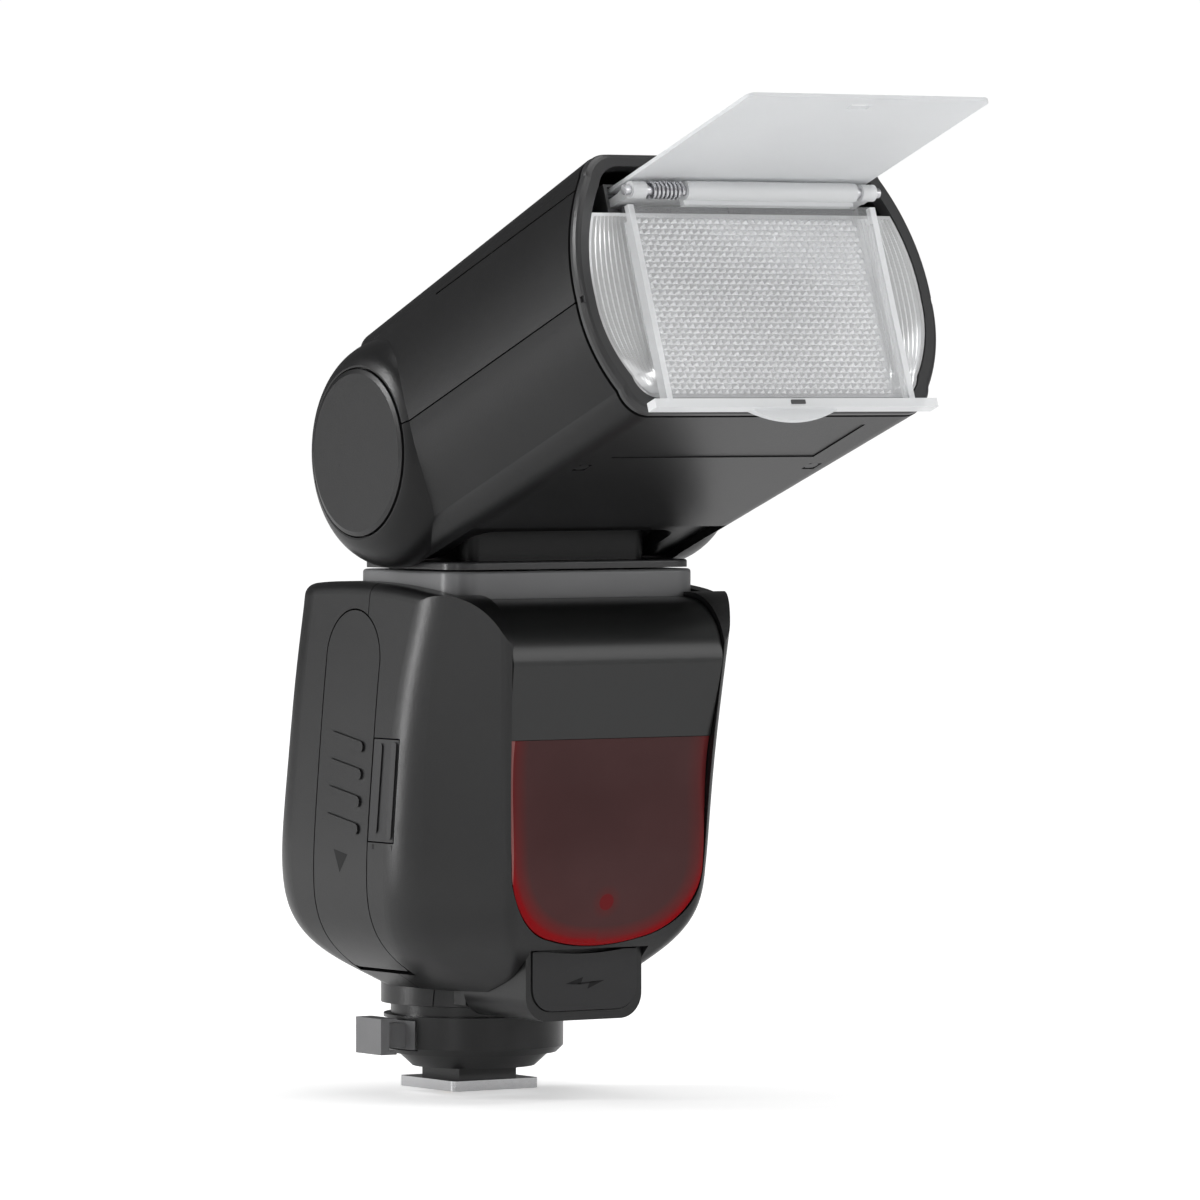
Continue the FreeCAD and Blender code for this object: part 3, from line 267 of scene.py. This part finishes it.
SOFT_KEYS = [f"soft_key_{k}" for k in range(1, 5)]
FINISH = {
    SATIN: ["front_shell", "rear_shell", "battery_door", "connector_block", "foot_base", "head_top_shell",
            "hinge_cover_left", "hinge_cover_right"],
    SHADED_BLACK: ["head_bottom_shell", "yoke"],
    GLOSS: ["brow_panel", "control_fascia"],
    BEZEL: ["bezel", "turntable", "infrared_sensor"],
    GREY: ["card_tray"],
    PLATFORM: ["swivel_platform"],
    LEVER: ["lock_lever"],
    RUBBER: ["front_flap", "side_flap"],
    BUTTON: ["select_dial", "set_button", "mode_button", "wireless_button", "power_switch", *SOFT_KEYS],
    STEEL: ["foot_plate", "foot_screws", "lock_pin"],
    GOLD: ["contact_pins"],
    SHAFT: ["swivel_shaft", "tilt_shaft", "hinge_bar", "hinge_spring", "zoom_screw", "zoom_rail"],
    DARK_SCREW: ["head_screws"],
    RED: ["sensor_window"],
    LAMP_RED: ["test_button"],
    LENS: ["lens"],
    CLEAR: ["wide_panel", "panel_carrier"],
    CARD: ["bounce_card"],
    MIRROR: ["reflector"],
    TUBE: ["flash_tube"],
    BOARD: ["main_board", "sensor_board"],
    CELL: ["cells"],
    SCREEN: ["display_panel"],
    PANE: ["display_window"],
    PORT: ["usb_socket"],
    LAMP: ["focus_lamps"],
    INNER: ["cell_tray", "power_socket", "main_capacitor", "zoom_carriage", "zoom_motor"],
}
for material, names in FINISH.items():
    for name in names:
        NODES[name].data.materials.clear()
        NODES[name].data.materials.append(material)


# ------------------------------------------------------------------ edge softening
def round_edges(obj, width, segments, angle=30):
    """Rounds the edges of an object that turn by more than an angle in degrees, by a width in millimetres."""
    bevel = obj.modifiers.new("edge", "BEVEL")
    bevel.width = width * MM
    bevel.segments = segments
    bevel.limit_method = "ANGLE"
    bevel.angle_limit = math.radians(angle)


# Edge width in millimetres, and the CAD nodes that have it.
SOFT_EDGES = {
    0.12: ["bounce_card"],
    0.2: ["foot_plate", "swivel_platform", "wide_panel", "panel_carrier"],
    0.25: ["brow_panel", "sensor_window", "control_fascia"],
    0.3: ["battery_door", "side_flap", "bezel", "foot_base", "head_top_shell", "head_bottom_shell",
          "hinge_cover_left", "hinge_cover_right", "select_dial", "set_button", "power_switch", *SOFT_KEYS,
          "mode_button", "wireless_button", "test_button"],
    0.35: ["front_shell", "rear_shell"],
    0.4: ["front_flap", "connector_block"],
    0.5: ["yoke", "lock_lever"],
}
for width, names in SOFT_EDGES.items():
    for name in names:
        round_edges(NODES[name], width, 2, angle=38)


# ------------------------------------------------------------------ mesh helper
def piece(name, points, faces, material, body, matrix=None):
    """A new piece from points in metres, which the matrix brings into the row frame."""
    mesh = bpy.data.meshes.new(name)
    mesh.from_pydata([tuple(matrix @ Vector(p)) if matrix else p for p in points], [], faces)
    mesh.validate()
    mesh.materials.append(material)
    obj = bpy.data.objects.new(name, mesh)
    bpy.context.scene.collection.objects.link(obj)
    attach(obj, body)
    return obj


# ------------------------------------------------------------------ lens relief
HEAD_INVERSE = HEAD.inverted()
LENS_POINTS = [HEAD_INVERSE @ v.co for v in NODES["lens"].data.vertices]
LENS_FRONT = min(p.y for p in LENS_POINTS)
LENS_RIM = [p for p in LENS_POINTS if p.y < LENS_FRONT + 0.05 * MM and p.x > 0]
LENS_LOW, LENS_HIGH = min(p.z for p in LENS_RIM), max(p.z for p in LENS_RIM)
LENS_MARGIN = 0.5 * MM
RELIEF_Y = LENS_FRONT - 0.02 * MM


def lens_half(z):
    """The lens's half width at a height."""
    below = [p for p in LENS_RIM if p.z <= z]
    above = [p for p in LENS_RIM if p.z > z]
    if not below or not above:
        return 0.0
    a, b = max(below, key=lambda p: p.z), min(above, key=lambda p: p.z)
    return a.x + (b.x - a.x) * (z - a.z) / max(b.z - a.z, 1e-9)


def lens_pyramids():
    """Rows of small pyramids over the lens's flat middle, each second row moved by half a pitch."""
    pitch_x, pitch_z, lift, middle = 1.5 * MM, 1.02 * MM, 0.62 * MM, 24.0 * MM
    first, free = 0.6 * MM, 1.0 * MM
    points, faces = [], []
    rows = int((LENS_HIGH - LENS_LOW - free) / pitch_z)
    for row in range(rows):
        z = LENS_LOW + first + row * pitch_z
        half = min(lens_half(z), lens_half(z + pitch_z), middle + LENS_MARGIN) - LENS_MARGIN
        columns = int(2 * half / pitch_x)
        shift = row % 2
        start = -columns * pitch_x / 2 + shift * pitch_x / 2
        for column in range(columns - shift):
            x = start + column * pitch_x
            base = len(points)
            points += [(x, RELIEF_Y, z), (x + pitch_x, RELIEF_Y, z), (x + pitch_x, RELIEF_Y, z + pitch_z),
                       (x, RELIEF_Y, z + pitch_z), (x + pitch_x / 2, RELIEF_Y - lift, z + pitch_z / 2)]
            faces += [(base + k, base + (k + 1) % 4, base + 4) for k in range(4)]
    return piece("lens_pyramids", points, faces, LENS, "head", HEAD)


def lens_ribs():
    """Curved upright ribs in the lens's two side zones, following its rounded sides."""
    count, steps, lift, inner, narrowest = 9, 26, 0.34 * MM, 24.4 * MM, 1.5 * MM
    low, span = LENS_LOW + 0.7 * MM, LENS_HIGH - LENS_LOW - 1.4 * MM
    points, faces = [], []
    for side in (-1, 1):
        for rib in range(count):
            previous = None
            for step in range(steps + 1):
                z = low + span * step / steps
                room = lens_half(z) - LENS_MARGIN - inner
                if room < narrowest:
                    previous = None
                    continue
                near, far = (inner + room * (rib + k) / count for k in (0, 1))
                base = len(points)
                points += [(side * near, RELIEF_Y, z), (side * (near + far) / 2, RELIEF_Y - lift, z),
                           (side * far, RELIEF_Y, z)]
                if previous is not None:
                    faces += [(previous + k, previous + k + 1, base + k + 1, base + k) for k in (0, 1)]
                previous = base
    return piece("lens_side_ribs", points, faces, LENS, "head", HEAD)


lens_pyramids()
lens_ribs()


# ------------------------------------------------------------------ relief on the casing
# Where the rays towards the casing's side and front start, in millimetres.
SIDE_START, FRONT_START = -80, -120


def laid(name, node, outline, lift, axis="x", material=INK, body="casing", sink=0.25):
    """A raised shape on a node's outer face: its top stands lift proud and its foot is sunk into the node.

    The outline is a closed list of (across, z) points in millimetres, looked at along the axis.
    """
    mesh = NODES[node].data
    tree = BVHTree.FromPolygons([v.co for v in mesh.vertices], [tuple(p.vertices) for p in mesh.polygons])
    top, bottom = [], []
    for across, z in outline:
        if axis == "x":
            start, way = Vector((SIDE_START, across, z)) * MM, Vector((1, 0, 0))
        else:
            start, way = Vector((across, FRONT_START, z)) * MM, Vector((0, 1, 0))
        hit = tree.ray_cast(start, way)[0]
        if hit is None:
            raise RuntimeError(f"{name}: {across}, {z} is off {node}")
        top.append(hit - way * lift * MM)
        bottom.append(hit + way * sink * MM)
    count = len(outline)
    points = [tuple(p) for p in top + bottom]
    faces = [tuple(range(count)), tuple(reversed(range(count, 2 * count)))]
    faces += [(k, (k + 1) % count, count + (k + 1) % count, count + k) for k in range(count)]
    obj = piece(name, points, faces, material, body)
    round_edges(obj, min(0.3, max(lift, 0.04) * 0.8), 3, angle=40)
    return obj


def capsule(a, b, radius, parts=6):
    """The outline round a straight bar with round ends, from a to b."""
    turn = math.atan2(b[1] - a[1], b[0] - a[0])
    outline = []
    for (u, v), start in ((b, -math.pi / 2), (a, math.pi / 2)):
        for k in range(parts + 1):
            angle = turn + start + math.pi * k / parts
            outline.append((u + radius * math.cos(angle), v + radius * math.sin(angle)))
    return outline


# The battery door and the port flap lean forward towards the top.
LEAN = math.tan(math.radians(4.6))
DOOR_MIDDLE, DOOR_LEVEL = -11.2, 72
FLAP_BAR, FLAP_RIM = -22.9, -27.5
RIB_TOP, RIB_PITCH, RIB_HALF, RIB_RISE, RIB_RADIUS, RIB_LIFT = 64.6, 4.95, 5.0, 0.8, 0.72, 0.38
ARROW = [(2.2, 45.0), (-2.4, 44.2), (0.1, 40.9)]
BOLT = [(1.1, 21.5), (0.6, 20.3), (3.9, 21.6), (-1.0, 21.0), (-0.5, 22.3), (-3.9, 21.3)]
SLOT_HIGH, SLOT_LOW = 46.5, 45.6


def leaning(y, drop):
    """Y of a leaning line at a drop below its upper end, in millimetres."""
    return y + drop * LEAN


def at_door(across, z):
    """Y on the battery door, from its leaning middle line."""
    return leaning(DOOR_MIDDLE + across, DOOR_LEVEL - z)


for k in range(4):
    level = RIB_TOP - RIB_PITCH * k
    high, low = level + RIB_RISE, level - RIB_RISE
    laid(f"door_rib_{k + 1}", "battery_door",
         capsule((at_door(RIB_HALF, high), high), (at_door(-RIB_HALF, low), low), RIB_RADIUS),
         RIB_LIFT, material=SATIN, body="door")
laid("door_arrow", "battery_door", [(at_door(across, z), z) for across, z in ARROW], 0.03, body="door")
laid("flap_bar", "side_flap", capsule((leaning(FLAP_BAR, 7.6), 64.0), (leaning(FLAP_BAR, 23.0), 49.2), 0.5),
     0.3, material=RUBBER, body="side_flap")
laid("flap_rim", "side_flap", capsule((leaning(FLAP_RIM, 7.6), 64.4), (leaning(FLAP_RIM, 24.0), 48.2), 0.42),
     0.32, material=RUBBER, body="side_flap")
slot_near, slot_far = leaning(-21.9, 25.4), leaning(-28.2, 25.4)
laid("flap_slot", "front_shell",
     [(slot_near, SLOT_HIGH), (slot_far, SLOT_HIGH), (slot_far, SLOT_LOW), (slot_near, SLOT_LOW)], 0.02)
laid("flash_mark", "front_flap", BOLT, 0.05, axis="y", body="front_flap")


# ------------------------------------------------------------------ small parts in the head's mouth
def bevelled_block(name, x, y, z, material, body, matrix, width=0.2):
    """A block between low and high corners, in millimetres, with rounded edges."""
    corners = [(a * MM, b * MM, c * MM) for a in x for b in y for c in z]
    faces = [(0, 1, 3, 2), (4, 6, 7, 5), (0, 4, 5, 1), (2, 3, 7, 6), (0, 2, 6, 4), (1, 5, 7, 3)]
    obj = piece(name, corners, faces, material, body, matrix)
    round_edges(obj, width, 3)
    return obj


bevelled_block("mouth_strip", (-24.6, 24.6), (-78.4, -77.4), (16.1, 17.5), GREY, "head", HEAD)
bevelled_block("mouth_label", (-2.4, 2.4), (-78.75, -78.3), (16.3, 17.4), BUTTON, "head", HEAD,
               width=0.12)
bevelled_block("panel_latch", (-1.5, 1.5), (-84.25, -83.9), (-21.1, -20.3), GREY, "wide_panel",
               HEAD, width=0.12)


# ------------------------------------------------------------------ relief on the rear controls
DIAL_Z, DIAL_MARK, DIAL_MARK_HALF = -14.4, 6.0, 0.5
KEY_PITCH, KEY_MARK_HALF = 10.4, 1.1


def dial_knurl():
    """Fine upright ridges round the select dial."""
    count, back, front = 48, -1.5, 1.35
    # A ridge's radius and half width, at its foot and at its crest.
    foot, crest = (8.45, 0.32), (8.92, 0.12)
    points, faces = [], []
    for k in range(count):
        turn = 2 * math.pi * k / count
        base = len(points)
        for radius, spread in (foot, crest):
            for sign in (-1, 1):
                for y in (back, front):
                    angle = turn + sign * spread / radius
                    across, up = radius * math.cos(angle), radius * math.sin(angle) + DIAL_Z
                    points.append((across * MM, y * MM, up * MM))
        faces += [tuple(base + i for i in face) for face in
                  ((0, 1, 5, 4), (2, 6, 7, 3), (4, 5, 7, 6), (0, 4, 6, 2), (1, 3, 7, 5), (0, 2, 3, 1))]
    return piece("dial_knurl", points, faces, BUTTON, "dial", REAR)


dial_knurl()
for k, name in enumerate(SOFT_KEYS):
    x = (k - 1.5) * KEY_PITCH
    bevelled_block(f"{name}_mark", (x - KEY_MARK_HALF, x + KEY_MARK_HALF), (1.05, 1.14), (-1.15, -0.85), PAINT,
                   name, REAR, width=0.04)
for k, (x, lift) in enumerate(((0, DIAL_MARK), (0, -DIAL_MARK), (-DIAL_MARK, 0), (DIAL_MARK, 0))):
    z = DIAL_Z + lift
    bevelled_block(f"dial_mark_{k + 1}", (x - DIAL_MARK_HALF, x + DIAL_MARK_HALF), (1.55, 1.64),
                   (z - DIAL_MARK_HALF, z + DIAL_MARK_HALF), PAINT, "dial", REAR, width=0.04)


# ------------------------------------------------------------------ stage, light and camera
# The floor's own light near the object, and the share of it that reaches anything but the eye.
FLOOR_GLOW, FLOOR_SPILL, FLOOR_GAP = 0.5, 0.35, 0.4 * MM
# The world's light on the object, and its white to the eye.
WORLD_LIGHT, WORLD_WHITE = 0.09, 1.02
MIDDLE = Vector((0, -0.03, 0.11))
CAMERA_BEARING, CAMERA_YAW, CAMERA_PITCH = (math.radians(angle) for angle in (32.76, 0.86, 1.48))
CAMERA_DISTANCE, CAMERA_HEIGHT = 1.60324, 0.13086
CAMERA_SENSOR, CAMERA_LENS = 36.0, 262.05

# Bearing in degrees; height, distance, width and tall in metres; radiance.
SOFTBOXES = {
    "rear_left_wall": (143, 0.25, 1.4, 0.55, 1.0, 0.36),
    "left_edge_strip": (124, 0.25, 1.3, 0.13, 1.3, 25.0),
    "left_soft": (90, 0.3, 1.3, 0.2, 1.2, 1.1),
    "front_left_strip": (60, 0.3, 1.35, 0.06, 1.0, 9.0),
    "front_wall": (6, 0.25, 1.4, 0.3, 1.0, 0.8),
    "front_right_band": (-33, 0.32, 1.35, 0.6, 0.5, 3.0),
    "front_high": (-20, 1.0, 0.9, 0.6, 0.36, 6.0),
    "ceiling": (0, 1.35, 0.05, 1.3, 1.3, 2.1),
}


def floor_paper():
    """Pale paper that glows more far from the object, where it has to run into the white behind."""
    paper = surface("pale_paper", (0.9, 0.9, 0.9), 0.8, grain=300, depth=0.02, tint=0.01)
    tree = paper.node_tree
    shader = tree.nodes["Principled BSDF"]
    shader.inputs["Emission Color"].default_value = (1, 1, 1, 1)
    place = tree.nodes.new("ShaderNodeTexCoord")
    length = tree.nodes.new("ShaderNodeVectorMath")
    length.operation = "LENGTH"
    tree.links.new(place.outputs["Object"], length.inputs[0])
    away = maths(tree, "DIVIDE", length.outputs["Value"], 2.5, clamp=True)
    glow = ramp_over(tree, away, greys((0.0, FLOOR_GLOW), (0.12, FLOOR_GLOW), (0.5, 1.0)))
    path = tree.nodes.new("ShaderNodeLightPath")
    seen = maths(tree, "MAXIMUM", path.outputs["Is Camera Ray"], FLOOR_SPILL)
    tree.links.new(maths(tree, "MULTIPLY", glow, seen), shader.inputs["Emission Strength"])
    return paper


def stage():
    """A wide pale floor just under the object."""
    low = CAD_BOX[0][2] - FLOOR_GAP
    radii, parts = (0.4, 1.2, 4.0), 48
    turns = [2 * math.pi * k / parts for k in range(parts)]
    points = [(0, 0, low)]
    points += [(r * math.cos(turn), r * math.sin(turn), low) for r in radii for turn in turns]
    faces = [(0, 1 + k, 1 + (k + 1) % parts) for k in range(parts)]
    for ring in range(len(radii) - 1):
        a, b = 1 + ring * parts, 1 + (ring + 1) * parts
        faces += [(a + k, b + k, b + (k + 1) % parts, a + (k + 1) % parts) for k in range(parts)]
    mesh = bpy.data.meshes.new("floor")
    mesh.from_pydata(points, [], faces)
    mesh.materials.append(floor_paper())
    obj = bpy.data.objects.new("floor", mesh)
    bpy.context.scene.collection.objects.link(obj)


def studio_world():
    """White to the eye and through clear plastic, and dim to everything else, so black plastic stays black."""
    world = bpy.data.worlds.new("studio")
    world.use_nodes = True
    tree = world.node_tree
    path = tree.nodes.new("ShaderNodeLightPath")
    seen = maths(tree, "MAXIMUM", path.outputs["Is Camera Ray"], path.outputs["Is Transmission Ray"])
    strength = maths(tree, "ADD", WORLD_LIGHT, maths(tree, "MULTIPLY", seen, WORLD_WHITE - WORLD_LIGHT))
    tree.nodes["Background"].inputs["Color"].default_value = (1, 1, 1, 1)
    tree.links.new(strength, tree.nodes["Background"].inputs["Strength"])
    bpy.context.scene.world = world


def softbox(name, bearing, height, distance, width, tall, radiance):
    """A rectangular light that faces the object, on a compass bearing from it: 0 at -Y, 90 at -X."""
    turn = math.radians(bearing)
    lamp = bpy.data.lights.new(name, "AREA")
    lamp.shape = "RECTANGLE"
    lamp.size, lamp.size_y = width, tall
    lamp.energy = radiance * math.pi * width * tall
    obj = bpy.data.objects.new(name, lamp)
    obj.location = MIDDLE + Vector((-math.sin(turn) * distance, -math.cos(turn) * distance, height))
    obj.rotation_euler = (MIDDLE - obj.location).to_track_quat("-Z", "Y").to_euler()
    obj.visible_camera = False
    bpy.context.scene.collection.objects.link(obj)


def camera():
    """A long lens from the front left, a little above the object's middle and tipped slightly down."""
    heading = CAMERA_BEARING + CAMERA_YAW
    ahead = Vector((math.sin(heading) * math.cos(CAMERA_PITCH), math.cos(heading) * math.cos(CAMERA_PITCH),
                    -math.sin(CAMERA_PITCH)))
    data = bpy.data.cameras.new("camera")
    data.sensor_width = CAMERA_SENSOR
    data.lens = CAMERA_LENS
    data.clip_start, data.clip_end = 0.05, 50
    obj = bpy.data.objects.new("camera", data)
    obj.location = (-math.sin(CAMERA_BEARING) * CAMERA_DISTANCE, -math.cos(CAMERA_BEARING) * CAMERA_DISTANCE,
                    CAMERA_HEIGHT)
    obj.rotation_euler = ahead.to_track_quat("-Z", "Y").to_euler()
    bpy.context.scene.collection.objects.link(obj)
    bpy.context.scene.camera = obj


stage()
camera()
studio_world()
bpy.context.scene.view_settings.view_transform = "Standard"
for name, setting in SOFTBOXES.items():
    softbox(name, *setting)
